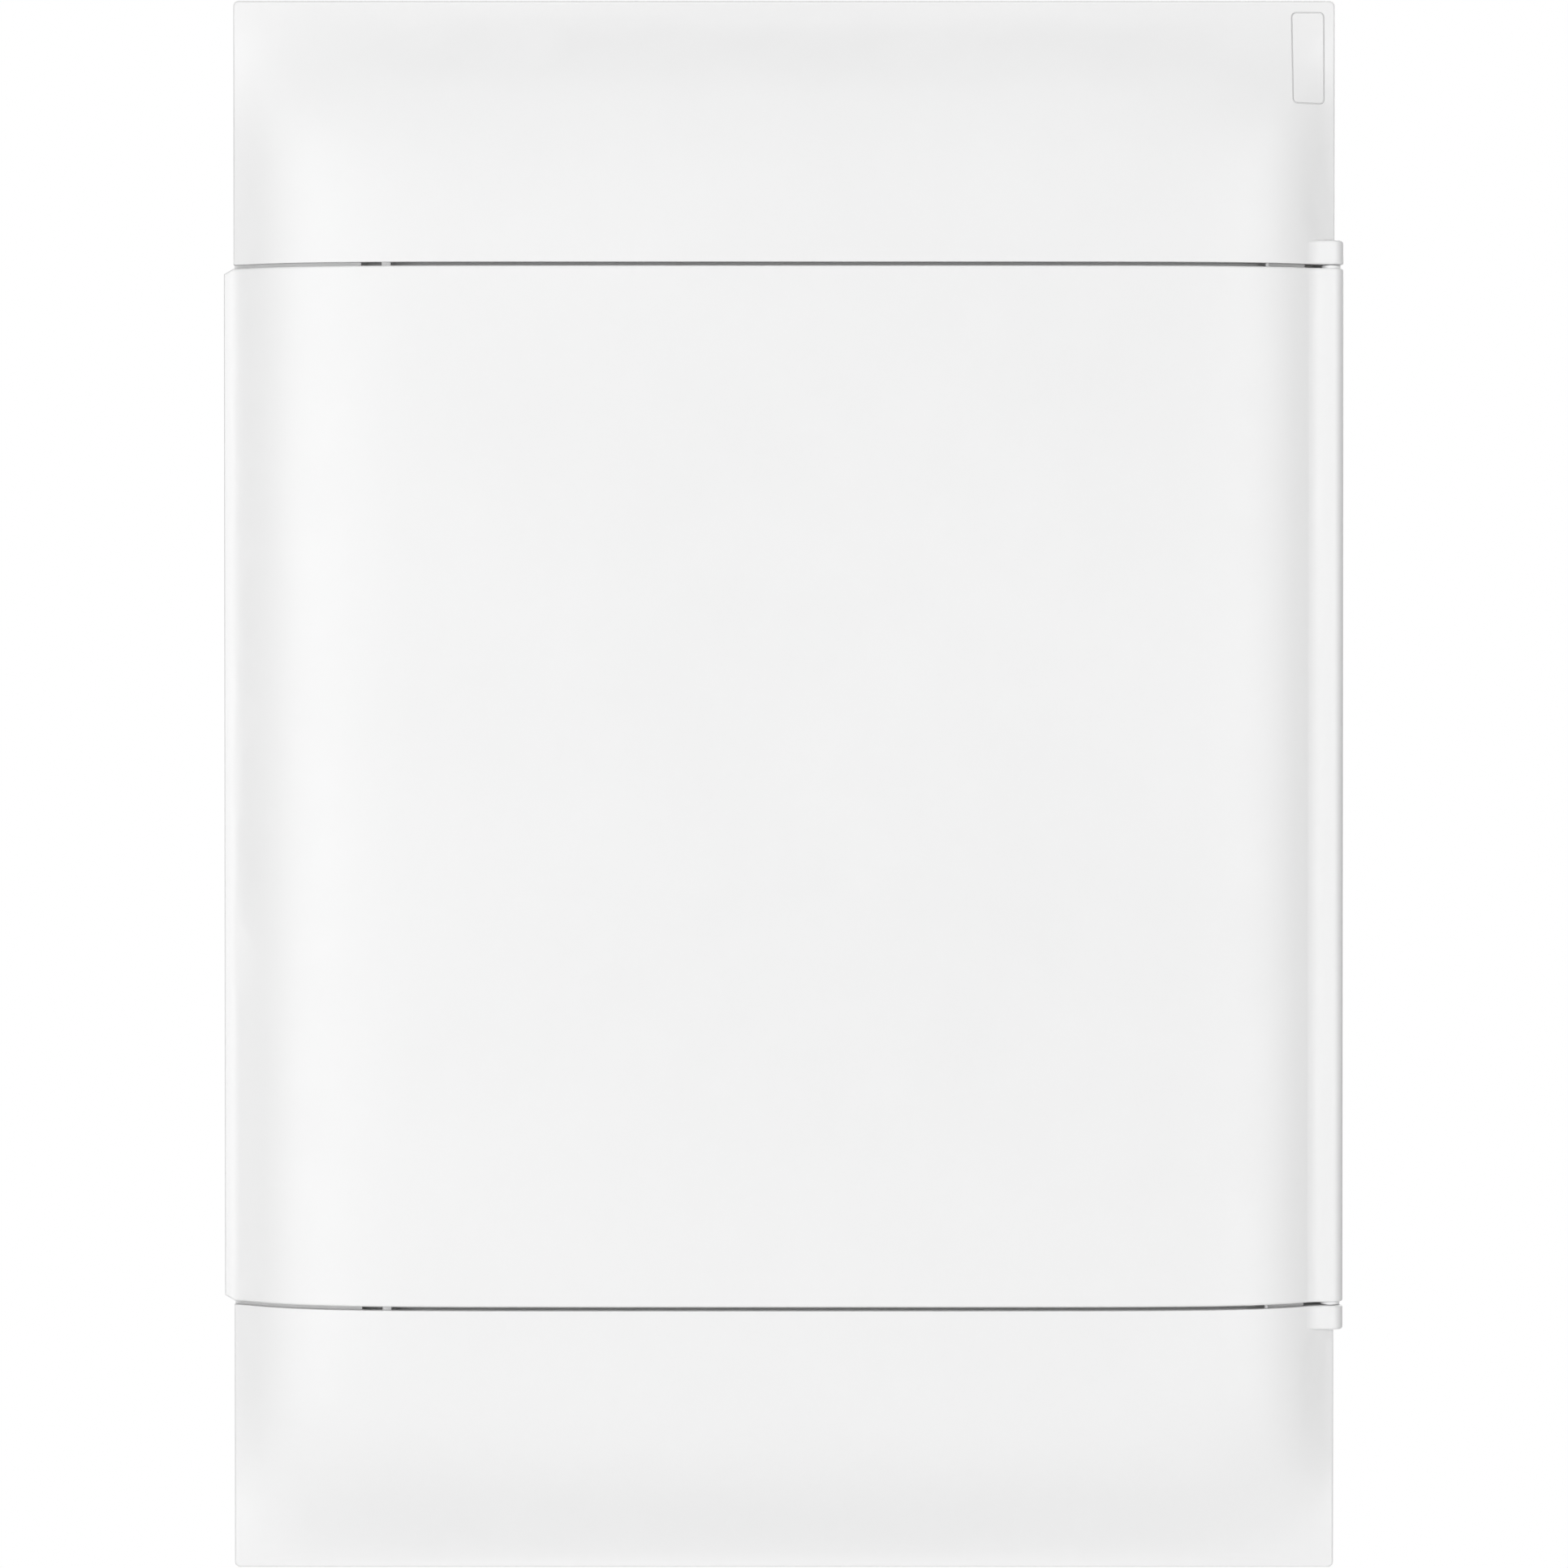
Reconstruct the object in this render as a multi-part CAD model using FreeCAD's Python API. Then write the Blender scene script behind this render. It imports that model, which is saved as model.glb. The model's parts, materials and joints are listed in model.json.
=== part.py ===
import FreeCAD, Part
import math
import os

from FreeCAD import Vector

# Wall-mounted distribution board enclosure, in millimetres.
# +X right, +Z up, the front faces -Y. The wall plane is y = 0, and the origin is
# the centre of the four wall-fixing slots.

# Outline of the front cover
HALF_WIDTH = 208.5
HALF_HEIGHT = 297.0
DEPTH = 104.0
CORNER_R = 2.0
RIM_EDGE_R = 0.8
WALL = 2.5

# The cover's crown: how far the front falls towards its sides and its ends
RIM_DROP = 20.8
SIDE_FALL = 23.7
SIDE_LENGTH = 21.9
LIP_FALL = 2.9
LIP_LENGTH = 4.0
END_LENGTH = 34.0
END_POWER = 1.6

# Back box
BOX_INSET = 0.5
BOX_WALL = 2.5
BACK_WALL = 2.8
SEAM_Y = -41.5
SPIGOT_Y = -52.0
SPIGOT_INSET = 3.3
SKIRT_Y = -42.0

# Wall fixings: horizontal slots in the back
FIXING_X = 191.0
FIXING_Z = 262.0
FIXING_R = 3.0
FIXING_LENGTH = 12.0

# Opening of the cover, and the door that closes it
OPENING_HALF_Z = 197.1
DOOR_HALF_Z = 195.7
DOOR_LEFT_X = -212.2
DOOR_WALL = 2.4
DOOR_AIR = 1.6
DOOR_EDGE_R = 0.8
DOOR_CHAMFER_X = 3.7
DOOR_CHAMFER_Z = 2.1

# Recess behind the door
RECESS_LEFT_X = -159.0
RECESS_RIGHT_X = 181.5
PLATE_Y = -70.2
LEDGE_X = 197.0
LEDGE_Y = -77.4
STOP_LEFT_X = (-151.2, -147.8)
STOP_RIGHT_X = (181.5, 182.7)
STOP_HEIGHT = 7.0
REBATE_DROP = 8.6
REBATE_SHEET = 2.0
REBATE_HEIGHT = 3.4
RIGHT_SHOULDER = 5.0

# Hinge
HINGE_X = 207.2
HINGE_Y = -82.8
BARREL_R = 4.7
BARREL_END_ANGLE = 100.0
COLLAR_R = 3.6
KNUCKLE_END_Z = 206.2
KNUCKLE_EDGE_R = 0.9
BLEND_X = 198.0
PIN_R = 1.5
PIN_GAP = 0.05
PIN_LENGTH = 16.0

# Rows of modular devices
ROWS_Z = (150.0, 0.0, -150.0)
MODULE = 17.5
MODULES = 18
BLANK_MODULES = 6
WINDOW_HALF_X = MODULE * MODULES / 2 + 0.4
WINDOW_HALF_Z = 23.0
RAIL_FRONT_Y = -22.0
RAIL_DEPTH = 7.5
RAIL_SHEET = 1.0
RAIL_HALF_X = 182.0

# Chassis uprights
UPRIGHT_X = 172.0
UPRIGHT_HALF_X = 10.0
UPRIGHT_HALF_Z = 262.0
UPRIGHT_DEPTH = 8.0
UPRIGHT_SHEET = 1.5
CHASSIS_SCREW_Z = 215.0

# Cover fasteners
FASTENER_X = 134.0
FASTENER_Z = 189.5
FASTENER_R = 3.0
POST_R = 7.0
POST_RIB = 11.0
POST_FRONT_Y = -62.0

# Terminal bars
BAR_Z = 250.0
BAR_HALF_X = 110.0
BAR_FRONT_Y = -32.0
BAR_DEPTH = 10.0
BAR_HALF_Z = 3.5
CLAMPS = 16
CLAMP_PITCH = 13.0
HOLDER_X = 85.0
SUPPORT_DEPTH = 5.0

# Cable entry plates
ENTRY_HALF_X = 130.0
ENTRY_Y = (-36.0, -6.0)

# Door catch
CATCH_X = -184.0
CATCH_HALF_Z = 11.0


# ---------------------------------------------------------------- helpers

def block(x, y, z):
    """A box from three (low, high) pairs."""
    size = [high - low for low, high in (x, y, z)]
    return Part.makeBox(*size, Vector(x[0], y[0], z[0]))


def rod_y(radius, x, z, y):
    """A round bar along Y, between the two values of y."""
    return Part.makeCylinder(radius, y[1] - y[0], Vector(x, y[0], z), Vector(0, 1, 0))


def rod_z(radius, x, y, z):
    """A round bar along Z, between the two values of z."""
    return Part.makeCylinder(radius, z[1] - z[0], Vector(x, y, z[0]), Vector(0, 0, 1))


def prism(points, direction):
    """A closed outline pushed along a direction."""
    wire = Part.makePolygon(points + points[:1])
    return Part.Face(wire).extrude(direction)


def rounded_block(half_x, half_z, y, radius):
    """A block centred on the origin, with its four corners along Y rounded."""
    solid = block((-half_x, half_x), y, (-half_z, half_z))
    corners = [
        edge for edge in solid.Edges
        if abs(edge.Vertexes[0].Y - edge.Vertexes[1].Y) > 0.1
    ]
    return solid.makeFillet(radius, corners)


def slot_y(radius, length, x, z, y):
    """A slot with round ends: its length runs along X, and it is cut along Y."""
    reach = length / 2 - radius
    middle = block((x - reach, x + reach), y, (z - radius, z + radius))
    ends = [rod_y(radius, x + side * reach, z, y) for side in (-1, 1)]
    return middle.fuse(ends).removeSplitter()


def frame_y(x, z, width, y):
    """A thin rectangular frame in the XZ plane."""
    inner_x = (x[0] + width, x[1] - width)
    inner_z = (z[0] + width, z[1] - width)
    return block(x, y, z).cut(block(inner_x, y, inner_z))


def join(first, others):
    """One solid from touching shapes, with the seams between flush faces removed."""
    return first.fuse(others).removeSplitter()


def save(name, shape):
    """Write one sub-part."""
    if not shape.isValid():
        print("not valid:", name)
    if len(shape.Solids) == 1:
        shape = shape.Solids[0]
    shape.exportStep("parts/" + name + ".step")


def both_sides(value):
    """The value on the left and on the right, or at the bottom and at the top."""
    return (-value, value)


def corners_xz(x, z):
    """Four points placed symmetrically about the centre."""
    return [(side_x, side_z) for side_x in both_sides(x) for side_z in both_sides(z)]


# ---------------------------------------------------------------- crown

def side_drop(x):
    """How far the front has fallen at x, away from the two ends."""
    inboard = HALF_WIDTH - abs(x)
    fall = SIDE_FALL * math.exp(-inboard / SIDE_LENGTH)
    lip = LIP_FALL * math.exp(-inboard / LIP_LENGTH)
    return fall - lip


def section_y(x):
    """The front surface at x, in the stretch that the door covers."""
    return side_drop(x) - DEPTH


def section_slope(x):
    """How steeply the front surface falls away to the right, on the right half."""
    inboard = HALF_WIDTH - x
    fall = SIDE_FALL / SIDE_LENGTH * math.exp(-inboard / SIDE_LENGTH)
    lip = LIP_FALL / LIP_LENGTH * math.exp(-inboard / LIP_LENGTH)
    return fall - lip


def crown_y(x, z):
    """The front surface anywhere on the cover. Its rim lies in one plane."""
    inboard = max(HALF_HEIGHT - abs(z), 0.0)
    end_rise = 1 - math.exp(-((inboard / END_LENGTH) ** END_POWER))
    side_rise = RIM_DROP - side_drop(x)
    return -(DEPTH - RIM_DROP) - side_rise * end_rise


def spread(half, steps):
    """Positions from -half to half, closer together towards both ends."""
    return [half * math.sin(math.pi / 2 * (2 * i / steps - 1)) for i in range(steps + 1)]


def under_crown(shift):
    """The solid between the crown, moved back by shift, and the skirt's edge."""
    margin = 3.0
    rows = [
        [Vector(x, crown_y(x, z) + shift, z) for z in spread(HALF_HEIGHT + margin, 56)]
        for x in spread(HALF_WIDTH + margin, 48)
    ]
    surface = Part.BSplineSurface()
    surface.interpolate(rows)
    return surface.toShape().extrude(Vector(0, DEPTH, 0))


def curve_along(offset, x_start, x_end):
    """The door section's curve, moved back by offset, as one smooth edge."""
    middle = (x_start + x_end) / 2
    xs = [middle + step for step in spread((x_end - x_start) / 2, 40)]
    curve = Part.BSplineCurve()
    curve.interpolate([Vector(x, section_y(x) + offset, 0) for x in xs])
    return curve.toShape()


def outline_solid(edges, half_z):
    """An outline in the XY plane, made solid between -half_z and half_z."""
    face = Part.Face(Part.Wire(Part.__sortEdges__(edges)))
    face.translate(Vector(0, 0, -half_z))
    return face.extrude(Vector(0, 0, 2 * half_z))


def straight_run(points):
    """Straight edges through points given as (x, y)."""
    corners = [Vector(x, y, 0) for x, y in points]
    return [Part.makeLine(a, b) for a, b in zip(corners, corners[1:])]


def hinge_blend():
    """The curve that eases the front surface into the front of the hinge barrel."""
    start = Vector(BLEND_X, section_y(BLEND_X), 0)
    end = Vector(HINGE_X, HINGE_Y - BARREL_R, 0)
    turn_x = start.x + (end.y - start.y) / section_slope(start.x)
    curve = Part.BezierCurve()
    curve.setPoles([start, Vector(turn_x, end.y, 0), end])
    return curve.toShape()


def barrel_round(end):
    """The hinge barrel's outline, from its front round the right side to an angle."""
    circle = Part.Circle(Vector(HINGE_X, HINGE_Y, 0), Vector(0, 0, 1), BARREL_R)
    return Part.Arc(circle, -math.pi / 2, end).toShape()


def middle_of(edge):
    """The point half way along an edge."""
    return edge.valueAt((edge.FirstParameter + edge.LastParameter) / 2)


# ---------------------------------------------------------------- front cover

def recess_section(inset, half_z):
    """The cover's cross-section behind the door, shrunk by inset, made solid."""
    shoulder = DOOR_WALL + DOOR_AIR + inset
    right_shoulder = RIGHT_SHOULDER + inset
    side = HALF_WIDTH - inset
    left = RECESS_LEFT_X - inset
    right = RECESS_RIGHT_X + inset
    ledge_x = LEDGE_X - inset
    plate = PLATE_Y + inset
    ledge = LEDGE_Y + inset
    back = SKIRT_Y
    edges = [
        curve_along(shoulder, -side, left), curve_along(right_shoulder, right, ledge_x),
    ]
    edges += straight_run([
        (left, section_y(left) + shoulder), (left, plate),
        (right, plate), (right, section_y(right) + right_shoulder),
    ])
    edges += straight_run([
        (ledge_x, section_y(ledge_x) + right_shoulder), (ledge_x, ledge),
        (side, ledge), (side, back), (-side, back), (-side, section_y(-side) + shoulder),
    ])
    return outline_solid(edges, half_z)


def knuckle(sign):
    """The lug at one end of the door that holds a hinge pin, eased into the crown."""
    ends = sorted((sign * OPENING_HALF_Z, sign * KNUCKLE_END_Z))
    back = HINGE_Y + BARREL_R
    edges = [hinge_blend(), barrel_round(math.pi / 2)]
    edges += straight_run([
        (HINGE_X, back), (BLEND_X, back), (BLEND_X, section_y(BLEND_X)),
    ])
    span = block((BLEND_X - 1, HINGE_X + 2 * BARREL_R), (-DEPTH, 0), ends)
    lug = outline_solid(edges, KNUCKLE_END_Z).common(span)
    rounded = [
        edge for edge in lug.Edges
        if edge.BoundBox.ZLength < 0.01
        and middle_of(edge).x > BLEND_X + 1
        and middle_of(edge).y < HINGE_Y + 1
    ]
    return lug.makeFillet(KNUCKLE_EDGE_R, rounded)


def stop_ribs():
    """Short ribs that stand close behind the door's four corners."""
    ribs = []
    for x in (STOP_LEFT_X, STOP_RIGHT_X):
        front = section_y(sum(x) / 2) + DOOR_WALL + 0.8
        for sign in (-1, 1):
            z = sorted((sign * (OPENING_HALF_Z - STOP_HEIGHT), sign * (OPENING_HALF_Z + 1)))
            ribs.append(block(x, (front, PLATE_Y + 1), z))
    return ribs


def door_rebates():
    """Ledges at the top and bottom of the recess, just behind the door's flanges."""
    left, right = RECESS_LEFT_X - 1, RECESS_RIGHT_X + 1
    back = REBATE_DROP + REBATE_SHEET
    edges = [curve_along(REBATE_DROP, left, right), curve_along(back, left, right)]
    for end in (left, right):
        y = section_y(end)
        edges += straight_run([(end, y + REBATE_DROP), (end, y + back)])
    band = outline_solid(edges, OPENING_HALF_Z + 1)
    between = both_sides(OPENING_HALF_Z - REBATE_HEIGHT)
    return band.cut(block((left - 1, right + 1), (-DEPTH, 0), between)).Solids


def plaque_groove(crown, crown_below):
    """A plain rounded outline pressed into the top right corner."""
    x = (191.9, 204.5)
    z = (257.6, 292.7)
    y = (-DEPTH, -60.0)
    line = 0.45

    def rounded(grow):
        solid = block(
            (x[0] - grow, x[1] + grow), y, (z[0] - grow, z[1] + grow)
        )
        upright = [e for e in solid.Edges if abs(e.Vertexes[0].Y - e.Vertexes[1].Y) > 1]
        return solid.makeFillet(2.0 + grow, upright)

    outline = rounded(0).cut(rounded(-line))
    return outline.common(crown).cut(crown_below)


def cap_ribs(inner):
    """Stiffening ribs inside the two ends of the cover."""
    ribs = []
    for x in (-120.0, -40.0, 40.0, 120.0):
        for sign in (-1, 1):
            z = sorted((sign * (OPENING_HALF_Z + 1), sign * (HALF_HEIGHT - WALL + 0.5)))
            slab = block((x - 0.8, x + 0.8), (-DEPTH, -74.0), z)
            ribs.append(slab.common(inner))
    return ribs


def front_cover():
    outline = rounded_block(HALF_WIDTH, HALF_HEIGHT, (-DEPTH - 2, SKIRT_Y), CORNER_R)
    inner_outline = rounded_block(
        HALF_WIDTH - WALL, HALF_HEIGHT - WALL, (-DEPTH - 2, SKIRT_Y + 1), CORNER_R / 2
    )
    crown = under_crown(0).common(outline)
    rim = [
        edge for edge in crown.Edges
        if edge.BoundBox.YLength < 0.3
        and abs(edge.CenterOfMass.y + DEPTH - RIM_DROP) < 0.3
    ]
    crown = crown.makeFillet(RIM_EDGE_R, rim)
    hollow = under_crown(WALL).common(inner_outline)

    far = 2 * HALF_WIDTH
    door_band = block((-far, far), (-far, 0), both_sides(OPENING_HALF_Z))
    end_wall = OPENING_HALF_Z + WALL
    inner_band = block((-far, far), (-far, 0), both_sides(end_wall))
    ends = crown.cut(hollow).cut(door_band)
    walls = crown.common(inner_band).cut(door_band)
    middle = recess_section(0, OPENING_HALF_Z)
    cover = join(ends, [walls, middle])
    cover = cover.cut(recess_section(WALL, end_wall))
    cover = join(cover, cap_ribs(hollow) + stop_ribs() + door_rebates())
    cover = join(cover, [knuckle(-1), knuckle(1)])

    cuts = [plaque_groove(crown, under_crown(0.5))]
    for z in ROWS_Z:
        cuts.append(block(
            both_sides(WINDOW_HALF_X), (PLATE_Y - 1, PLATE_Y + WALL + 1),
            (z - WINDOW_HALF_Z, z + WINDOW_HALF_Z),
        ))
    for x, z in corners_xz(FASTENER_X, FASTENER_Z):
        cuts.append(rod_y(FASTENER_R + 0.1, x, z, (PLATE_Y - 1, PLATE_Y + WALL + 1)))
    for sign in (-1, 1):
        z = sorted((sign * (OPENING_HALF_Z - 1), sign * (KNUCKLE_END_Z - 1.5)))
        cuts.append(rod_z(PIN_R, HINGE_X, HINGE_Y, z))
    catch_air = 1.0
    cuts.append(block(
        (CATCH_X - 2.6 - catch_air, CATCH_X + 2.6 + catch_air), (-DEPTH, -60.0),
        both_sides(CATCH_HALF_Z + catch_air),
    ))
    cover = cover.cut(cuts)
    save("front_cover", cover)


def blanking_plates():
    """A snap-in plate with module lines closes the right end of each window."""
    plate_x = (WINDOW_HALF_X - 0.3 - BLANK_MODULES * MODULE, WINDOW_HALF_X - 0.3)
    for number, z in enumerate(ROWS_Z, 1):
        face = block(
            plate_x, (PLATE_Y - 1.6, PLATE_Y + 1.0),
            (z - WINDOW_HALF_Z + 0.3, z + WINDOW_HALF_Z - 0.3),
        )
        grooves = []
        for step in range(1, 2 * BLANK_MODULES):
            x = plate_x[0] + step * MODULE / 2
            grooves.append(block(
                (x - 0.25, x + 0.25), (PLATE_Y - 2, PLATE_Y - 1.2),
                (z - WINDOW_HALF_Z, z + WINDOW_HALF_Z),
            ))
        clips = []
        for step in range(BLANK_MODULES):
            x = plate_x[0] + (step + 0.5) * MODULE
            for sign in (-1, 1):
                outer = z + sign * (WINDOW_HALF_Z - 0.3)
                inner = z + sign * (WINDOW_HALF_Z - 2.0)
                clips.append(block(
                    (x - 3, x + 3), (PLATE_Y + 0.5, PLATE_Y + 7.0), sorted((inner, outer))
                ))
                hook = z + sign * (WINDOW_HALF_Z + 1.0)
                clips.append(block(
                    (x - 3, x + 3), (PLATE_Y + WALL + 0.3, PLATE_Y + WALL + 1.8),
                    sorted((inner, hook)),
                ))
        save("blanking_plate_%d" % number, join(face.cut(grooves), clips))


def labels():
    """A clear holder over a card, on the plate under each window."""
    length = WINDOW_HALF_X - 1.5
    for number, z in enumerate(ROWS_Z, 1):
        top = z - WINDOW_HALF_Z - 2.0
        bottom = top - 7.0
        card_y = (PLATE_Y - 0.4, PLATE_Y)
        card = block(both_sides(length - 1.0), card_y, (bottom + 1.0, top - 1.0))
        save("label_card_%d" % number, card)
        shell = block(both_sides(length), (PLATE_Y - 1.2, PLATE_Y), (bottom, top))
        room = block(
            both_sides(length - 0.9), (PLATE_Y - 0.5, PLATE_Y), (bottom + 0.9, top - 0.9)
        )
        save("label_holder_%d" % number, shell.cut(room))


def cover_fasteners():
    """Quarter-turn screws that hold the cover on the posts of the back box."""
    head_r = 5.4
    head_front = PLATE_Y - 3.0
    for number, (x, z) in enumerate(corners_xz(FASTENER_X, FASTENER_Z), 1):
        head = rod_y(head_r, x, z, (head_front, PLATE_Y - 0.3))
        rim = [edge for edge in head.Edges if abs(edge.CenterOfMass.y - head_front) < 0.01]
        head = head.makeChamfer(0.5, rim)
        shaft = rod_y(FASTENER_R, x, z, (PLATE_Y - 0.3, POST_FRONT_Y + 16.0))
        slot = block(
            (x - head_r, x + head_r), (head_front, head_front + 1.6), (z - 0.6, z + 0.6)
        )
        save("cover_fastener_%d" % number, join(head, [shaft]).cut(slot))


# ---------------------------------------------------------------- door

def door_panel():
    """The curved panel and the hinge barrel it runs into, as one outline.

    A straight back joins the panel's inner face to the back of the barrel.
    """
    left_y = section_y(DOOR_LEFT_X)
    inner_y = section_y(BLEND_X) + DOOR_WALL
    round_end = math.radians(BARREL_END_ANGLE)
    edges = [
        curve_along(0, DOOR_LEFT_X, BLEND_X), hinge_blend(), barrel_round(round_end),
        curve_along(DOOR_WALL, DOOR_LEFT_X, BLEND_X),
    ]
    edges += straight_run([(DOOR_LEFT_X, left_y), (DOOR_LEFT_X, left_y + DOOR_WALL)])
    edges += straight_run([
        (HINGE_X + BARREL_R * math.cos(round_end), HINGE_Y + BARREL_R * math.sin(round_end)),
        (BLEND_X, inner_y),
    ])
    corners = []
    for sign in (-1, 1):
        edge_z = sign * DOOR_HALF_Z
        corners.append(prism([
            Vector(DOOR_LEFT_X - 0.01, -DEPTH, edge_z + sign * 0.01),
            Vector(DOOR_LEFT_X + DOOR_CHAMFER_X, -DEPTH, edge_z + sign * 0.01),
            Vector(DOOR_LEFT_X - 0.01, -DEPTH, edge_z - sign * DOOR_CHAMFER_Z),
        ], Vector(0, DEPTH, 0)))
    panel = outline_solid(edges, DOOR_HALF_Z).cut(corners)
    return panel.makeFillet(DOOR_EDGE_R, front_border(panel))


def front_border(panel):
    """The edges all round the panel's front face and over the ends of the barrel."""
    border = []
    for edge in panel.Edges:
        middle = middle_of(edge)
        on_front = middle.y < section_y(middle.x) + 0.1 or middle.x > HINGE_X
        along_hinge = middle.x > 0 and abs(middle.z) < 1
        if on_front and not along_hinge:
            border.append(edge)
    return border


def door_ribs():
    """Flanges along the top and bottom, and stiffening ribs, inside the door."""
    x = (-140.0, 174.0)
    depth = 5.0
    half = 0.9
    places = [sign * (DOOR_HALF_Z - half) for sign in (-1, 1)]
    places += [sign * DOOR_HALF_Z / 3 for sign in (-1, 1)]
    slabs = [block(x, (-DEPTH, -90.0), (z - half, z + half)) for z in places]
    for rib_x in (x[0], -35.0, 70.0, x[1]):
        slabs.append(block(
            (rib_x - half, rib_x + half), (-DEPTH, -90.0), both_sides(DOOR_HALF_Z)
        ))
    left, right = x[0] - 5, x[1] + 5
    edges = [curve_along(DOOR_WALL - 0.2, left, right)]
    edges += [curve_along(DOOR_WALL + depth, left, right)]
    for end in (left, right):
        y = section_y(end) + DOOR_WALL
        edges += straight_run([(end, y - 0.2), (end, y + depth)])
    band = outline_solid(edges, DOOR_HALF_Z)
    return [slab.common(band) for slab in slabs]


def door():
    collar = rod_z(COLLAR_R, HINGE_X, HINGE_Y, both_sides(OPENING_HALF_Z - 0.3))
    solid = join(door_panel(), [collar] + door_ribs())
    bores = []
    for sign in (-1, 1):
        z = sorted((sign * (OPENING_HALF_Z - PIN_LENGTH), sign * OPENING_HALF_Z))
        bores.append(rod_z(PIN_R + PIN_GAP, HINGE_X, HINGE_Y, z))
    save("door", solid.cut(bores))


def hinge_pins():
    """Steel pins, fast in the knuckles, on which the door turns."""
    inner = OPENING_HALF_Z - PIN_LENGTH + 3.0
    outer = KNUCKLE_END_Z - 1.5
    for name, sign in (("hinge_pin_bottom", -1), ("hinge_pin_top", 1)):
        z = sorted((sign * inner, sign * outer))
        pin = rod_z(PIN_R, HINGE_X, HINGE_Y, z)
        save(name, pin.makeChamfer(0.3, [e for e in pin.Edges if e.Closed]))


def door_catch():
    """A springy tongue behind the door's lip side, and the socket it enters."""
    tip = 11.0
    root_y = section_y(CATCH_X) + DOOR_WALL
    tongue_x = (CATCH_X - 1.0, CATCH_X + 1.0)
    foot_x = (CATCH_X - 2.4, CATCH_X + 2.4)
    slope_y = section_y(CATCH_X - 2.4) + DOOR_WALL
    foot = block(foot_x, (root_y - 1.0, slope_y + 1.2), both_sides(CATCH_HALF_Z))
    foot = foot.cut(under_door())
    blade = block(tongue_x, (root_y, root_y + tip), both_sides(CATCH_HALF_Z - 1.5))
    nib = prism([
        Vector(tongue_x[0], root_y + tip - 4.0, -CATCH_HALF_Z + 1.5),
        Vector(tongue_x[0] - 1.2, root_y + tip - 2.0, -CATCH_HALF_Z + 1.5),
        Vector(tongue_x[0], root_y + tip, -CATCH_HALF_Z + 1.5),
    ], Vector(0, 0, 2 * CATCH_HALF_Z - 3.0))
    save("catch_tongue", join(foot, [blade, nib]).cut(under_door()))

    ear = 9.0
    top_y = section_y(CATCH_X - ear) + DOOR_WALL + DOOR_AIR + WALL
    bottom_y = top_y + 11.0
    frame_x = (CATCH_X - 6.0, CATCH_X + 6.0)
    half_z = CATCH_HALF_Z + 4.0
    body = block(frame_x, (top_y, bottom_y), both_sides(half_z))
    room = block(
        (CATCH_X - 4.0, CATCH_X + 4.0), (top_y - 1, bottom_y - 1.6),
        both_sides(CATCH_HALF_Z + 1.0),
    )
    ears = block(
        (CATCH_X - ear, CATCH_X + ear), (top_y, top_y + 1.6), both_sides(half_z)
    )
    save("catch_socket", join(body, [ears]).cut(room))


def under_door():
    """Everything in front of the door's inner face, near the catch."""
    left, right = CATCH_X - 12.0, CATCH_X + 12.0
    edges = [curve_along(DOOR_WALL, left, right)]
    edges += straight_run([
        (left, section_y(left) + DOOR_WALL), (left, -DEPTH - 5),
        (right, -DEPTH - 5), (right, section_y(right) + DOOR_WALL),
    ])
    return outline_solid(edges, CATCH_HALF_Z + 2)


# ---------------------------------------------------------------- back box

def back_box():
    """The four walls, with the spigot that the front cover slips over."""
    outer = rounded_block(
        HALF_WIDTH - BOX_INSET, HALF_HEIGHT - BOX_INSET, (SEAM_Y, 0), CORNER_R
    )
    spigot = rounded_block(
        HALF_WIDTH - SPIGOT_INSET, HALF_HEIGHT - SPIGOT_INSET, (SPIGOT_Y, SEAM_Y), CORNER_R
    )
    wide_hollow = back_outline((SEAM_Y + BOX_WALL, 1.0))
    inset = SPIGOT_INSET + BOX_WALL
    mouth = rounded_block(
        HALF_WIDTH - inset, HALF_HEIGHT - inset, (SPIGOT_Y - 1, SEAM_Y + BOX_WALL), 1.0
    )
    walls = join(outer, [spigot]).cut([wide_hollow, mouth])

    cuts = []
    entry_z = HALF_HEIGHT - BOX_INSET - BOX_WALL
    for sign in (-1, 1):
        z = sorted((sign * (entry_z - 1), sign * (HALF_HEIGHT + 1)))
        cuts.append(block(both_sides(ENTRY_HALF_X), ENTRY_Y, z))
        for middle_z in (-150.0, 0.0, 150.0):
            cuts.append(side_score(sign, middle_z))
    save("back_box", walls.cut(cuts))


def back_outline(y):
    """The space inside the box's four walls."""
    inset = BOX_INSET + BOX_WALL
    return rounded_block(HALF_WIDTH - inset, HALF_HEIGHT - inset, y, 1.0)


def back_panel():
    """The flat back: wall-fixing slots, and two scored outlines for cables from behind."""
    cuts = []
    for x, z in corners_xz(FIXING_X, FIXING_Z):
        cuts.append(slot_y(FIXING_R, FIXING_LENGTH, x, z, (-BACK_WALL - 1.0, 1.0)))
    for sign in (-1, 1):
        z = sorted((sign * 236.0, sign * 276.0))
        cuts.append(frame_y((-100.0, 100.0), z, 0.8, (-0.6, 1.0)))
    save("back_panel", back_outline((-BACK_WALL, 0)).cut(cuts))


def side_score(sign, middle_z):
    """The scored outline of a knock-out on one side wall."""
    wall_x = HALF_WIDTH - BOX_INSET
    x = sorted((sign * (wall_x - 0.6), sign * (wall_x + 1)))
    outer = block(x, (-34.0, -6.0), (middle_z - 25, middle_z + 25))
    inner = block(x, (-33.2, -6.8), (middle_z - 24.2, middle_z + 24.2))
    return outer.cut(inner)


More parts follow.
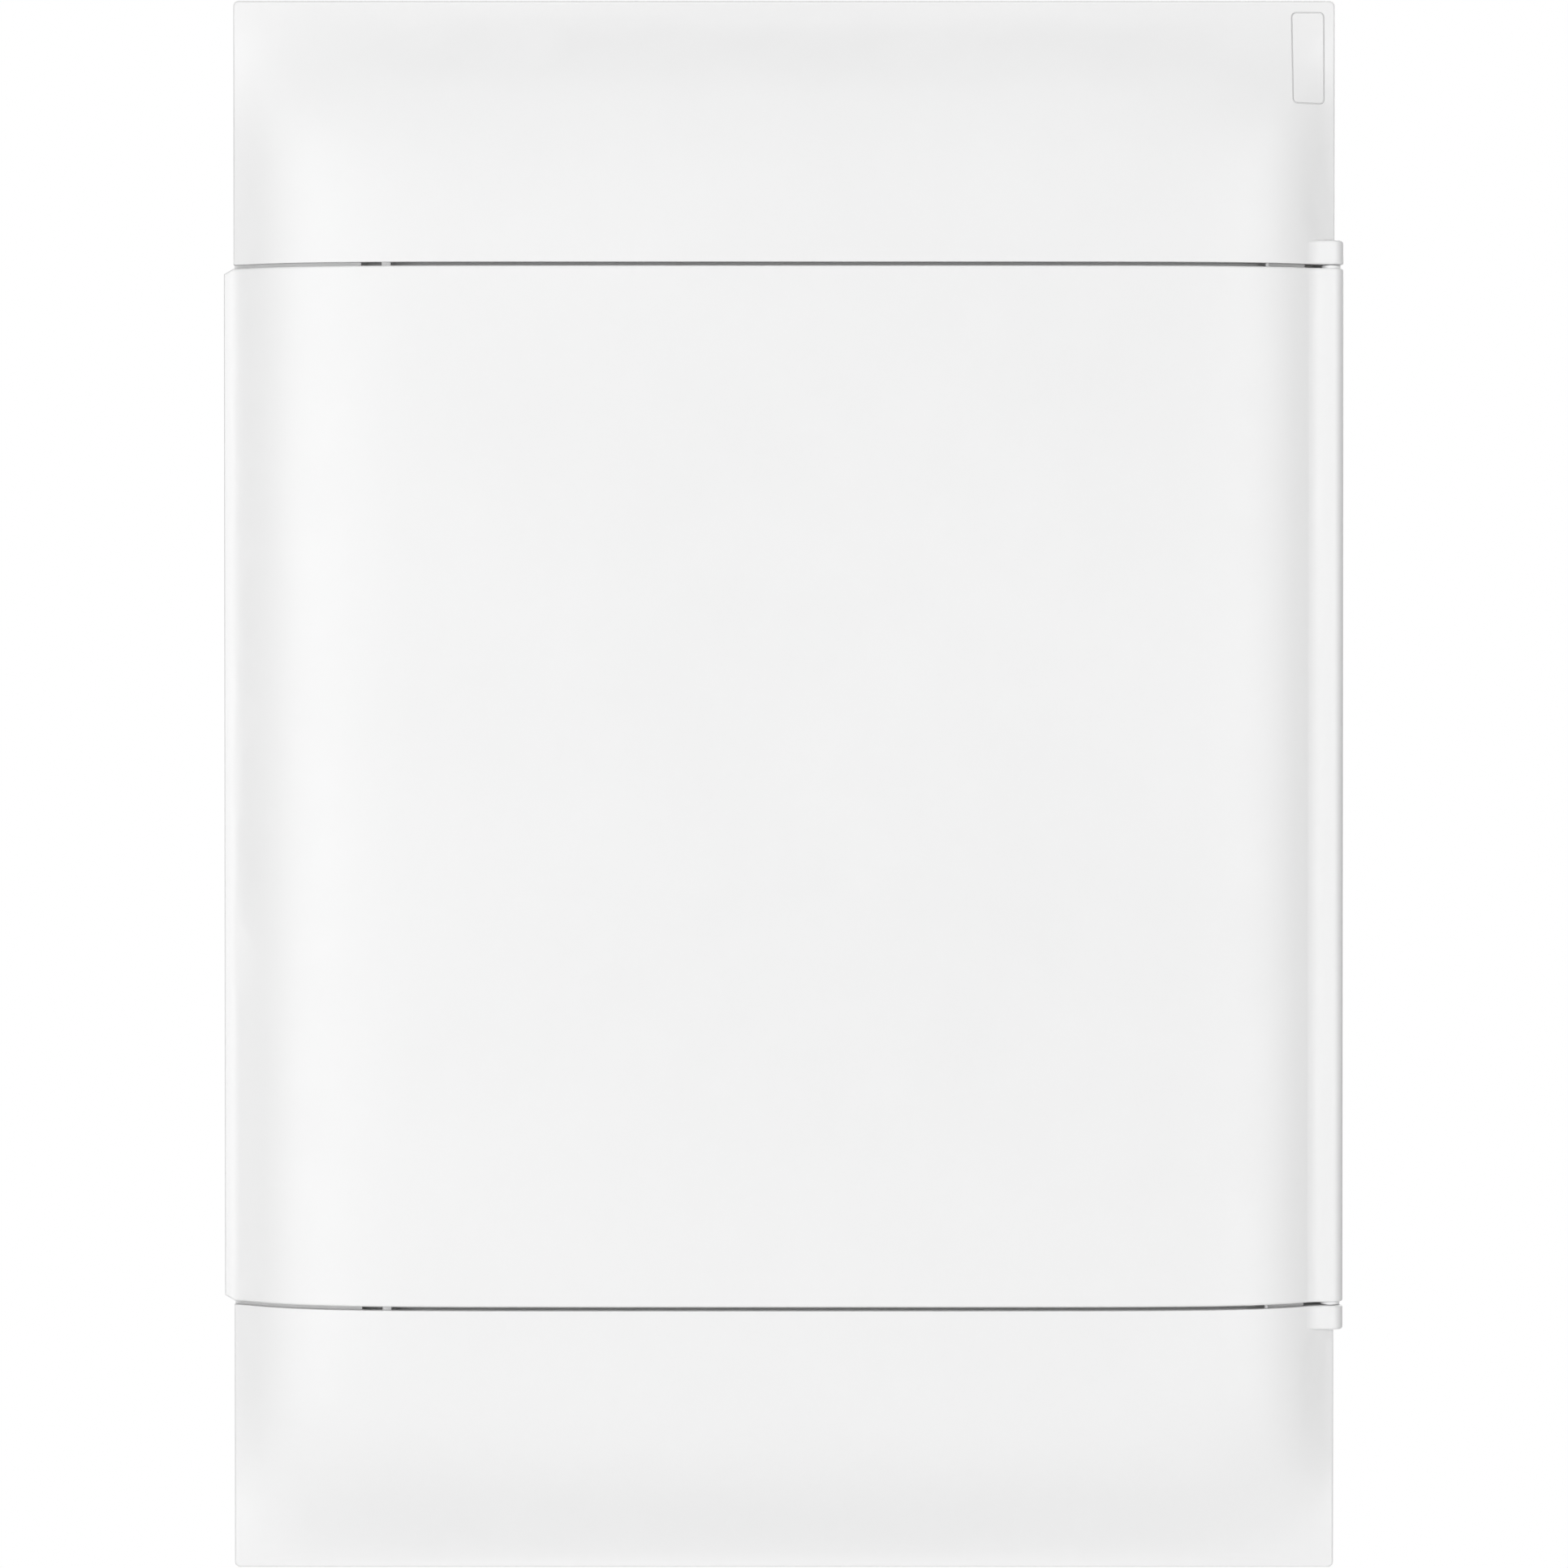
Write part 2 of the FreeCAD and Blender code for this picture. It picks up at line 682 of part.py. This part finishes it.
def cover_posts():
    """Four ribbed posts on the back panel that take the cover's fasteners."""
    posts = []
    for x, z in corners_xz(FASTENER_X, FASTENER_Z):
        parts = []
        for turn in (0, 90):
            rib = block((x - POST_RIB, x + POST_RIB), (-30.0, -BACK_WALL), (z - 0.9, z + 0.9))
            rib.rotate(Vector(x, 0, z), Vector(0, 1, 0), turn)
            parts.append(rib)
        post = join(rod_y(POST_R, x, z, (POST_FRONT_Y, -BACK_WALL)), parts)
        bore = (POST_FRONT_Y - 1, POST_FRONT_Y + 22.0)
        posts.append(post.cut(rod_y(FASTENER_R + 0.4, x, z, bore)))
    save("cover_posts", Part.makeCompound(posts))


def chassis_spacers():
    """Four round spacers that hold the uprights off the back panel."""
    spacers = []
    for x, z in corners_xz(UPRIGHT_X, CHASSIS_SCREW_Z):
        spacer = rod_y(6.0, x, z, (web_back_y(), -BACK_WALL))
        spacers.append(spacer.cut(rod_y(1.8, x, z, (web_back_y() - 1, -BACK_WALL - 1))))
    save("chassis_spacers", Part.makeCompound(spacers))


def cable_entry_plates():
    """Plates with scored round knock-outs, snapped into the top and bottom walls."""
    rings = [(-105.0, 8.2), (-72.0, 10.2), (-36.0, 12.7), (0.0, 8.2)]
    rings += [(36.0, 12.7), (72.0, 10.2), (105.0, 8.2)]
    wall_out = HALF_HEIGHT - BOX_INSET
    wall_in = wall_out - BOX_WALL
    middle_y = sum(ENTRY_Y) / 2
    y = (ENTRY_Y[0] + 0.2, ENTRY_Y[1] - 0.2)
    for name, sign in (("cable_entry_plate_bottom", -1), ("cable_entry_plate_top", 1)):
        face = block(
            both_sides(ENTRY_HALF_X - 0.2), y, sorted((sign * wall_in, sign * wall_out))
        )
        flange = block(
            both_sides(ENTRY_HALF_X + 4), (ENTRY_Y[0] - 2.4, ENTRY_Y[1] + 2.6),
            sorted((sign * (wall_in - 1.8), sign * wall_in)),
        )
        grooves = []
        for x, radius in rings:
            z = sorted((sign * (wall_out - 0.6), sign * (wall_out + 1)))
            for ring_r in (radius, radius * 0.7):
                ring = rod_z(ring_r, x, middle_y, z).cut(rod_z(ring_r - 0.6, x, middle_y, z))
                grooves.append(ring)
        save(name, join(face, [flange]).cut(grooves))


# ---------------------------------------------------------------- chassis

def upright_front_y():
    """The face that the rails are screwed on."""
    return RAIL_FRONT_Y + RAIL_DEPTH


def web_back_y():
    """The back of the upright's front web."""
    return upright_front_y() + UPRIGHT_SHEET


def uprights():
    """Folded steel channels, open to the wall, with a row of fixing holes."""
    front = upright_front_y()
    back = front + UPRIGHT_DEPTH
    for name, sign in (("upright_left", -1), ("upright_right", 1)):
        x = sign * UPRIGHT_X
        outer = block(
            (x - UPRIGHT_HALF_X, x + UPRIGHT_HALF_X), (front, back), both_sides(UPRIGHT_HALF_Z)
        )
        sheet = UPRIGHT_SHEET
        inner = block(
            (x - UPRIGHT_HALF_X + sheet, x + UPRIGHT_HALF_X - sheet),
            (front + sheet, back + 1), both_sides(UPRIGHT_HALF_Z + 1),
        )
        folds = [
            edge for edge in outer.Edges
            if edge.Length > UPRIGHT_HALF_Z and abs(edge.CenterOfMass.y - front) < 0.01
        ]
        channel = outer.makeFillet(1.2, folds).cut(inner)
        holes = [rod_y(2.5, x, z, (front - 1, front + 3)) for z in ROWS_Z]
        holes += [rod_y(2.0, x, z, (front - 1, front + 3)) for z in both_sides(CHASSIS_SCREW_Z)]
        for step in range(-7, 8):
            z = step * 25.0
            if min(abs(z - row) for row in ROWS_Z) > 20:
                holes.append(rod_y(2.6, x, z, (front - 1, front + 3)))
        save(name, channel.cut(holes))


def rail_profile():
    """Half of the 35 mm top-hat section, as (z, y) from its edge inwards."""
    front = RAIL_FRONT_Y
    back = RAIL_FRONT_Y + RAIL_DEPTH
    sheet = RAIL_SHEET
    return [
        (17.5, front), (17.5, front + sheet), (13.5, front + sheet), (13.5, back),
    ], [
        (12.5, back - sheet), (12.5, front),
    ]


def din_rails():
    """Top-hat rails with slotted webs, one behind each device window."""
    outside, inside = rail_profile()
    half = outside + [(-z, y) for z, y in reversed(outside)]
    back_half = [(-z, y) for z, y in reversed(inside)]
    section = half + back_half + inside
    for number, row_z in enumerate(ROWS_Z, 1):
        points = [Vector(-RAIL_HALF_X, y, row_z + z) for z, y in section]
        rail = prism(points, Vector(2 * RAIL_HALF_X, 0, 0))
        web = (RAIL_FRONT_Y + RAIL_DEPTH - 3, RAIL_FRONT_Y + RAIL_DEPTH + 1)
        cuts = [rod_y(2.5, x, row_z, web) for x in both_sides(UPRIGHT_X)]
        cuts += [slot_y(3.1, 15.0, 25.0 * step, row_z, web) for step in range(-6, 7)]
        save("din_rail_%d" % number, rail.cut(cuts))


def pan_screw(x, z, seat_y, shaft_r, head_r, length):
    """A pan-head screw with a cross recess, driven along +Y into its seat."""
    head_h = 2.6
    head = rod_y(head_r, x, z, (seat_y - head_h, seat_y))
    rim = [edge for edge in head.Edges if abs(edge.CenterOfMass.y - seat_y + head_h) < 0.01]
    head = head.makeFillet(0.9, rim)
    shaft = rod_y(shaft_r, x, z, (seat_y, seat_y + length))
    arms = []
    for half_x, half_z in ((0.5, head_r * 0.55), (head_r * 0.55, 0.5)):
        arms.append(block(
            (x - half_x, x + half_x), (seat_y - head_h - 1, seat_y - head_h + 1.4),
            (z - half_z, z + half_z),
        ))
    return join(head, [shaft]).cut(arms)


def chassis_fixings():
    rail_seat = RAIL_FRONT_Y + RAIL_DEPTH - RAIL_SHEET
    rail_screws = [
        pan_screw(x, z, rail_seat, 2.5, 4.6, 6.5)
        for x in both_sides(UPRIGHT_X) for z in ROWS_Z
    ]
    save("rail_screws", Part.makeCompound(rail_screws))
    chassis_screws = [
        pan_screw(x, z, upright_front_y(), 1.8, 3.8, 9.0)
        for x, z in corners_xz(UPRIGHT_X, CHASSIS_SCREW_Z)
    ]
    save("chassis_screws", Part.makeCompound(chassis_screws))


# ---------------------------------------------------------------- terminals

def terminals():
    """At each end of the chassis: a support, two holders, a brass bar and its screws."""
    support_front = upright_front_y() - SUPPORT_DEPTH
    bar_back = BAR_FRONT_Y + BAR_DEPTH
    clamps_x = [CLAMP_PITCH * (i - (CLAMPS - 1) / 2) for i in range(CLAMPS)]
    for place, bar_name, sign in (("top", "earth", 1), ("bottom", "neutral", -1)):
        z = sign * BAR_Z
        support = block(
            both_sides(RAIL_HALF_X), (support_front, upright_front_y()), (z - 9, z + 9)
        )
        channel = block(
            both_sides(UPRIGHT_X - UPRIGHT_HALF_X - 4),
            (support_front + 2, upright_front_y() + 1), (z - 7, z + 7),
        )
        save("terminal_support_" + place, support.cut(channel))

        holders = []
        for x in both_sides(HOLDER_X):
            body = block((x - 5, x + 5), (BAR_FRONT_Y + 3, support_front), (z - 8, z + 8))
            seat = block(
                (x - 6, x + 6), (BAR_FRONT_Y - 1, bar_back),
                (z - BAR_HALF_Z, z + BAR_HALF_Z),
            )
            holders.append(body.cut(seat))
        save(bar_name + "_bar_holders", Part.makeCompound(holders))

        bar = block(
            both_sides(BAR_HALF_X), (BAR_FRONT_Y, bar_back), (z - BAR_HALF_Z, z + BAR_HALF_Z)
        )
        cuts = []
        screws = []
        for x in clamps_x:
            wire_y = bar_back - 4.0
            cuts.append(rod_z(2.6, x, wire_y, (z - 5, z + 5)))
            cuts.append(rod_y(2.2, x, z, (BAR_FRONT_Y - 1, wire_y)))
            screw = rod_y(2.2, x, z, (BAR_FRONT_Y - 1.2, wire_y - 2.4))
            screws.append(screw.cut(block(
                (x - 3, x + 3), (BAR_FRONT_Y - 2, BAR_FRONT_Y - 0.3), (z - 0.4, z + 0.4)
            )))
        save(bar_name + "_bar", bar.cut(cuts))
        save(bar_name + "_bar_screws", Part.makeCompound(screws))


def main():
    os.makedirs("parts", exist_ok=True)
    back_box()
    back_panel()
    cover_posts()
    chassis_spacers()
    cable_entry_plates()
    uprights()
    din_rails()
    chassis_fixings()
    terminals()
    front_cover()
    blanking_plates()
    labels()
    cover_fasteners()
    door()
    hinge_pins()
    door_catch()


main()
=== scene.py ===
import json
import math

import bmesh
import bpy
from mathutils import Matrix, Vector


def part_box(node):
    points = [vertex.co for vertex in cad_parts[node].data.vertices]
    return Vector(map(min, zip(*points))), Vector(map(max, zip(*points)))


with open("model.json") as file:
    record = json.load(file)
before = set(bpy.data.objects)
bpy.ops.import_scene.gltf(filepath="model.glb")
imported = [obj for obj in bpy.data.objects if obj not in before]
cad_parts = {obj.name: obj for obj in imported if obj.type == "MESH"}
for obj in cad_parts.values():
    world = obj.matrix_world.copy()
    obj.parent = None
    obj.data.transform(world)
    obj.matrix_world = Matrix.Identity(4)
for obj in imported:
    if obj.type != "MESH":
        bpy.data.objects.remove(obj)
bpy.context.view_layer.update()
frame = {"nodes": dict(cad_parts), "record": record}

# Lengths are in metres, angles in degrees and the lights' powers in watts.

# The small radius that is left on every edge by a mould, by plating or by drawing
MOULDED_EDGE = 0.00035
PLATED_EDGE = 0.0002
DRAWN_EDGE = 0.0003

# The stretch of a noise's range that a colour or roughness ramp spreads over
RAMP_START = 0.3
RAMP_END = 0.7

# The camera stands in front of the cover's rim, which lies a little way behind the cover's
# foremost point, and the frame is just as tall as the cover there. The shift is a share of
# the frame's width, and the sensor's width is in millimetres.
CAMERA_DISTANCE = 2.1
CAMERA_HEIGHT = 0.0657
CAMERA_TILT = -0.67
CAMERA_SHIFT = -0.0684
SENSOR_WIDTH = 36.0
FRAME_HEIGHT = 0.5943
RIM_DEPTH = 0.0208

# The floor fades out between two shares of its radius; the lift is a glow that only the
# camera sees on it
FLOOR_HEIGHT = -0.9
FLOOR_RADIUS = 3.0
FLOOR_LIFT = 0.14
FADE_START = 0.25
FADE_END = 0.97

# The surround, as the camera sees it and as it lights the object
SURROUND_SEEN = 1.0
SURROUND_LIGHT = 0.177

# Upright strip lights stand round the object's front: each one's name, azimuth and power
MIDDLE = (0.0, -0.1, 0.0)
LIGHT_DISTANCE = 2.8
STRIP_SIZE = (0.7, 2.2)
STRIP_ELEVATION = 2
STRIP_LIGHTS = (
    ("left_near", -20, 7.1),
    ("left_key", -35, 21.0),
    ("left_edge", -52, 13.2),
    ("right_key", 35, 26.3),
    ("right_edge", 52, 2.6),
)


# ---------------------------------------------------------------- materials

class Nodes:
    """A short way to write one material's node tree."""

    def __init__(self, name):
        self.material = bpy.data.materials.new(name)
        self.material.use_nodes = True
        self.tree = self.material.node_tree
        self.tree.nodes.clear()
        self.shader = self.tree.nodes.new("ShaderNodeBsdfPrincipled")
        self.output = self.tree.nodes.new("ShaderNodeOutputMaterial")
        self.link(self.shader.outputs[0], self.output.inputs[0])
        self.place = self.tree.nodes.new("ShaderNodeTexCoord").outputs["Object"]

    def link(self, source, target):
        self.tree.links.new(source, target)

    def noise(self, scale, detail, roughness, stretch=None):
        """Noise over the object's own coordinates; stretch scales them along each axis."""
        node = self.tree.nodes.new("ShaderNodeTexNoise")
        node.inputs["Scale"].default_value = scale
        node.inputs["Detail"].default_value = detail
        node.inputs["Roughness"].default_value = roughness
        source = self.place
        if stretch:
            mapping = self.tree.nodes.new("ShaderNodeMapping")
            mapping.inputs["Scale"].default_value = stretch
            self.link(source, mapping.inputs["Vector"])
            source = mapping.outputs["Vector"]
        self.link(source, node.inputs["Vector"])
        return node.outputs["Fac"]

    def ramp(self, value, low, high):
        """Two colours, or two plain numbers, spread over the middle of a noise's range."""
        node = self.tree.nodes.new("ShaderNodeValToRGB")
        node.color_ramp.elements[0].position = RAMP_START
        node.color_ramp.elements[1].position = RAMP_END
        node.color_ramp.elements[0].color = rgba(low)
        node.color_ramp.elements[1].color = rgba(high)
        self.link(value, node.inputs["Fac"])
        return node.outputs["Color"]

    def bump(self, value, distance, strength, before=None):
        """Normals raised by a value, on top of the normals before it."""
        node = self.tree.nodes.new("ShaderNodeBump")
        node.inputs["Strength"].default_value = strength
        node.inputs["Distance"].default_value = distance
        self.link(value, node.inputs["Height"])
        if before:
            self.link(before, node.inputs["Normal"])
        return node.outputs["Normal"]

    def soft_edges(self, radius):
        """Normals that turn over a small radius on every edge."""
        node = self.tree.nodes.new("ShaderNodeBevel")
        node.samples = 4
        node.inputs["Radius"].default_value = radius
        return node.outputs["Normal"]

    def set(self, **sockets):
        """Numbers and colours go straight on the shader's sockets; node outputs are linked."""
        for name, value in sockets.items():
            socket = self.shader.inputs[name.replace("_", " ")]
            if isinstance(value, bpy.types.NodeSocket):
                self.link(value, socket)
            else:
                socket.default_value = value


def rgba(value):
    """An opaque colour, from one grey level or from three numbers."""
    if isinstance(value, (int, float)):
        return (value, value, value, 1.0)
    return (*value, 1.0)


def moulded(name, colour, roughness=0.42, grain=0.00002):
    """Satin moulded plastic: fine spark-eroded grain, faint flow marks and handling sheen."""
    nodes = Nodes(name)
    darker = [channel * 0.985 for channel in colour]
    flow = nodes.noise(scale=9.0, detail=2.0, roughness=0.4)
    sheen = nodes.noise(scale=38.0, detail=4.0, roughness=0.55)
    fine = nodes.noise(scale=2600.0, detail=2.0, roughness=0.5)
    wave = nodes.noise(scale=16.0, detail=1.0, roughness=0.3)
    edges = nodes.soft_edges(MOULDED_EDGE)
    sunk = nodes.bump(wave, distance=0.00006, strength=0.25, before=edges)
    nodes.set(
        Base_Color=nodes.ramp(flow, darker, colour),
        Roughness=nodes.ramp(sheen, roughness - 0.03, roughness + 0.04),
        Normal=nodes.bump(fine, distance=grain, strength=0.35, before=sunk),
    )
    return nodes.material


def zinc(name, colour, stretch):
    """Bright zinc plate on rolled sheet: drawn grain, cloudy passivation."""
    nodes = Nodes(name)
    cloud = nodes.noise(scale=60.0, detail=5.0, roughness=0.6)
    grain = nodes.noise(scale=420.0, detail=3.0, roughness=0.6, stretch=stretch)
    edges = nodes.soft_edges(PLATED_EDGE)
    tint = (colour[0] * 0.86, colour[1] * 0.88, colour[2] * 0.93)
    nodes.set(
        Base_Color=nodes.ramp(cloud, tint, colour),
        Metallic=1.0,
        Roughness=nodes.ramp(grain, 0.26, 0.42),
        Normal=nodes.bump(grain, distance=0.00002, strength=0.4, before=edges),
    )
    return nodes.material


def brass(name):
    """Drawn brass bar, slightly dulled."""
    nodes = Nodes(name)
    cloud = nodes.noise(scale=70.0, detail=4.0, roughness=0.6)
    grain = nodes.noise(scale=600.0, detail=2.0, roughness=0.5, stretch=(0.05, 1.0, 1.0))
    edges = nodes.soft_edges(DRAWN_EDGE)
    nodes.set(
        Base_Color=nodes.ramp(cloud, (0.62, 0.44, 0.17), (0.80, 0.60, 0.27)),
        Metallic=1.0,
        Roughness=nodes.ramp(grain, 0.22, 0.4),
        Normal=nodes.bump(grain, distance=0.00002, strength=0.35, before=edges),
    )
    return nodes.material


def card(name):
    """Uncoated white card with faint fibres."""
    nodes = Nodes(name)
    fibre = nodes.noise(scale=1500.0, detail=4.0, roughness=0.7, stretch=(0.25, 1.0, 1.0))
    nodes.set(
        Base_Color=nodes.ramp(fibre, (0.80, 0.79, 0.74), (0.88, 0.87, 0.83)),
        Roughness=0.85,
        Normal=nodes.bump(fibre, distance=0.00003, strength=0.5),
    )
    return nodes.material


def clear(name):
    """Clear moulded strip, a little scuffed."""
    nodes = Nodes(name)
    scuff = nodes.noise(scale=300.0, detail=5.0, roughness=0.7, stretch=(0.2, 1.0, 1.0))
    nodes.set(
        Base_Color=nodes.ramp(scuff, (0.88, 0.91, 0.92), (0.95, 0.97, 0.97)),
        Roughness=nodes.ramp(scuff, 0.05, 0.16),
        Alpha=0.28,
        IOR=1.49,
    )
    return nodes.material


WHITE = (0.86, 0.86, 0.86)
MATERIALS = {
    "white_cover": moulded("cover_abs", WHITE),
    "white_door": moulded("door_abs", WHITE),
    "white_clip": moulded("clip_plastic", (0.83, 0.83, 0.82), roughness=0.36),
    "grey_box": moulded("box_abs", (0.82, 0.82, 0.82), roughness=0.5, grain=0.00003),
    "white_entry": moulded("entry_abs", (0.82, 0.82, 0.82), roughness=0.46, grain=0.00003),
    "white_blank": moulded("blank_abs", (0.85, 0.85, 0.85), roughness=0.5, grain=0.00003),
    "support_plastic": moulded("support_polyamide", (0.42, 0.43, 0.44), roughness=0.5),
    "earth_green": moulded("earth_polyamide", (0.05, 0.36, 0.10), roughness=0.38),
    "neutral_blue": moulded("neutral_polyamide", (0.03, 0.14, 0.52), roughness=0.38),
    "fastener_grey": moulded("fastener_polyamide", (0.36, 0.37, 0.38), roughness=0.4),
    "zinc_steel": zinc("zinc_sheet", (0.78, 0.79, 0.80), stretch=(0.04, 1.0, 1.0)),
    "pin_steel": zinc("ground_pin", (0.70, 0.70, 0.71), stretch=(1.0, 1.0, 0.1)),
    "terminal_screw_steel": zinc("plated_screw", (0.74, 0.75, 0.76), stretch=(1.0, 1.0, 1.0)),
    "terminal_brass": brass("drawn_brass"),
    "label_paper": card("label_card"),
    "label_clear": clear("label_window"),
}


def dress_nodes():
    """Every carried-over part gets the material of its own slot."""
    for row in frame["record"]["subparts"]:
        materials = frame["nodes"][row["node"]].data.materials
        materials.clear()
        materials.append(MATERIALS[row["material_slot"]])


# ---------------------------------------------------------------- stage

def area_light(name, place, size, power):
    """A rectangular lamp that shines on the object's middle."""
    data = bpy.data.lights.new(name, "AREA")
    data.shape = "RECTANGLE"
    data.size, data.size_y = size
    data.energy = power
    light = bpy.data.objects.new(name, data)
    bpy.context.scene.collection.objects.link(light)
    light.location = place
    aim = Vector(MIDDLE) - Vector(place)
    light.rotation_euler = aim.to_track_quat("-Z", "Y").to_euler()


def set_world():
    """A plain pale surround: bright where the camera sees it, softer as light."""
    world = bpy.data.worlds.new("studio")
    bpy.context.scene.world = world
    world.use_nodes = True
    tree = world.node_tree
    tree.nodes.clear()
    output = tree.nodes.new("ShaderNodeOutputWorld")
    mix = tree.nodes.new("ShaderNodeMixShader")
    path = tree.nodes.new("ShaderNodeLightPath")
    tree.links.new(path.outputs["Is Camera Ray"], mix.inputs[0])
    for strength, socket in zip((SURROUND_LIGHT, SURROUND_SEEN), mix.inputs[1:]):
        shade = tree.nodes.new("ShaderNodeBackground")
        shade.inputs["Color"].default_value = rgba(1.0)
        shade.inputs["Strength"].default_value = strength
        tree.links.new(shade.outputs[0], socket)
    tree.links.new(mix.outputs[0], output.inputs[0])


def floor_paper():
    """Pale paper that fades into the white surround towards its rim."""
    nodes = Nodes("studio_floor")
    tree = nodes.tree
    paper = nodes.noise(scale=3.0, detail=2.0, roughness=0.5)
    nodes.set(Base_Color=nodes.ramp(paper, 0.90, 0.93), Roughness=0.9)

    path = tree.nodes.new("ShaderNodeLightPath")
    glow = tree.nodes.new("ShaderNodeEmission")
    glow.inputs["Color"].default_value = rgba(FLOOR_LIFT)
    nodes.link(path.outputs["Is Camera Ray"], glow.inputs["Strength"])
    lit = tree.nodes.new("ShaderNodeAddShader")
    nodes.link(nodes.shader.outputs[0], lit.inputs[0])
    nodes.link(glow.outputs[0], lit.inputs[1])

    away = tree.nodes.new("ShaderNodeVectorMath")
    away.operation = "DISTANCE"
    away.inputs[1].default_value = (0.0, 0.0, FLOOR_HEIGHT)
    nodes.link(nodes.place, away.inputs[0])
    fade = tree.nodes.new("ShaderNodeMapRange")
    fade.interpolation_type = "SMOOTHSTEP"
    fade.inputs["From Min"].default_value = FADE_START * FLOOR_RADIUS
    fade.inputs["From Max"].default_value = FADE_END * FLOOR_RADIUS
    nodes.link(away.outputs["Value"], fade.inputs["Value"])
    nothing = tree.nodes.new("ShaderNodeBsdfTransparent")
    mix = tree.nodes.new("ShaderNodeMixShader")
    nodes.link(fade.outputs[0], mix.inputs[0])
    nodes.link(lit.outputs[0], mix.inputs[1])
    nodes.link(nothing.outputs[0], mix.inputs[2])
    nodes.link(mix.outputs[0], nodes.output.inputs[0])
    return nodes.material


def make_floor():
    """A round pale floor, well below the object, which hangs at wall height."""
    mesh = bpy.data.meshes.new("floor")
    shape = bmesh.new()
    bmesh.ops.create_circle(shape, cap_ends=True, segments=96, radius=FLOOR_RADIUS)
    bmesh.ops.translate(shape, verts=shape.verts, vec=(0.0, 0.0, FLOOR_HEIGHT))
    shape.to_mesh(mesh)
    shape.free()
    floor = bpy.data.objects.new("floor", mesh)
    bpy.context.scene.collection.objects.link(floor)
    mesh.materials.append(floor_paper())


def make_camera():
    """Straight on, a long way off, a little above the object's middle."""
    rim_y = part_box("front_cover")[0][1] + RIM_DEPTH
    data = bpy.data.cameras.new("camera")
    data.sensor_width = SENSOR_WIDTH
    data.lens = SENSOR_WIDTH * CAMERA_DISTANCE / FRAME_HEIGHT
    data.shift_y = CAMERA_SHIFT
    camera = bpy.data.objects.new("camera", data)
    bpy.context.scene.collection.objects.link(camera)
    camera.location = (0.0, rim_y - CAMERA_DISTANCE, CAMERA_HEIGHT)
    camera.rotation_euler = (math.radians(90 + CAMERA_TILT), 0.0, 0.0)
    bpy.context.scene.camera = camera


def around(azimuth, elevation):
    """A light's place; azimuth 0 is straight in front of the object, + is to the right."""
    turn, rise = math.radians(azimuth), math.radians(elevation)
    level = LIGHT_DISTANCE * math.cos(rise)
    return (
        level * math.sin(turn),
        MIDDLE[1] - level * math.cos(turn),
        LIGHT_DISTANCE * math.sin(rise),
    )


def make_lights():
    """Strips at the sides shade the crown, and two fills lift the top and the back."""
    for name, azimuth, power in STRIP_LIGHTS:
        area_light(name, around(azimuth, STRIP_ELEVATION), STRIP_SIZE, power)
    overhead = around(azimuth=0, elevation=50)
    area_light("top_fill", overhead, size=(2.0, 0.8), power=15.4)
    area_light("back_fill", place=(1.3, 2.6, 1.3), size=(2.0, 2.0), power=45.0)


def make_stage():
    bpy.context.scene.view_settings.view_transform = "Standard"
    set_world()
    make_floor()
    make_camera()
    make_lights()


dress_nodes()
make_stage()
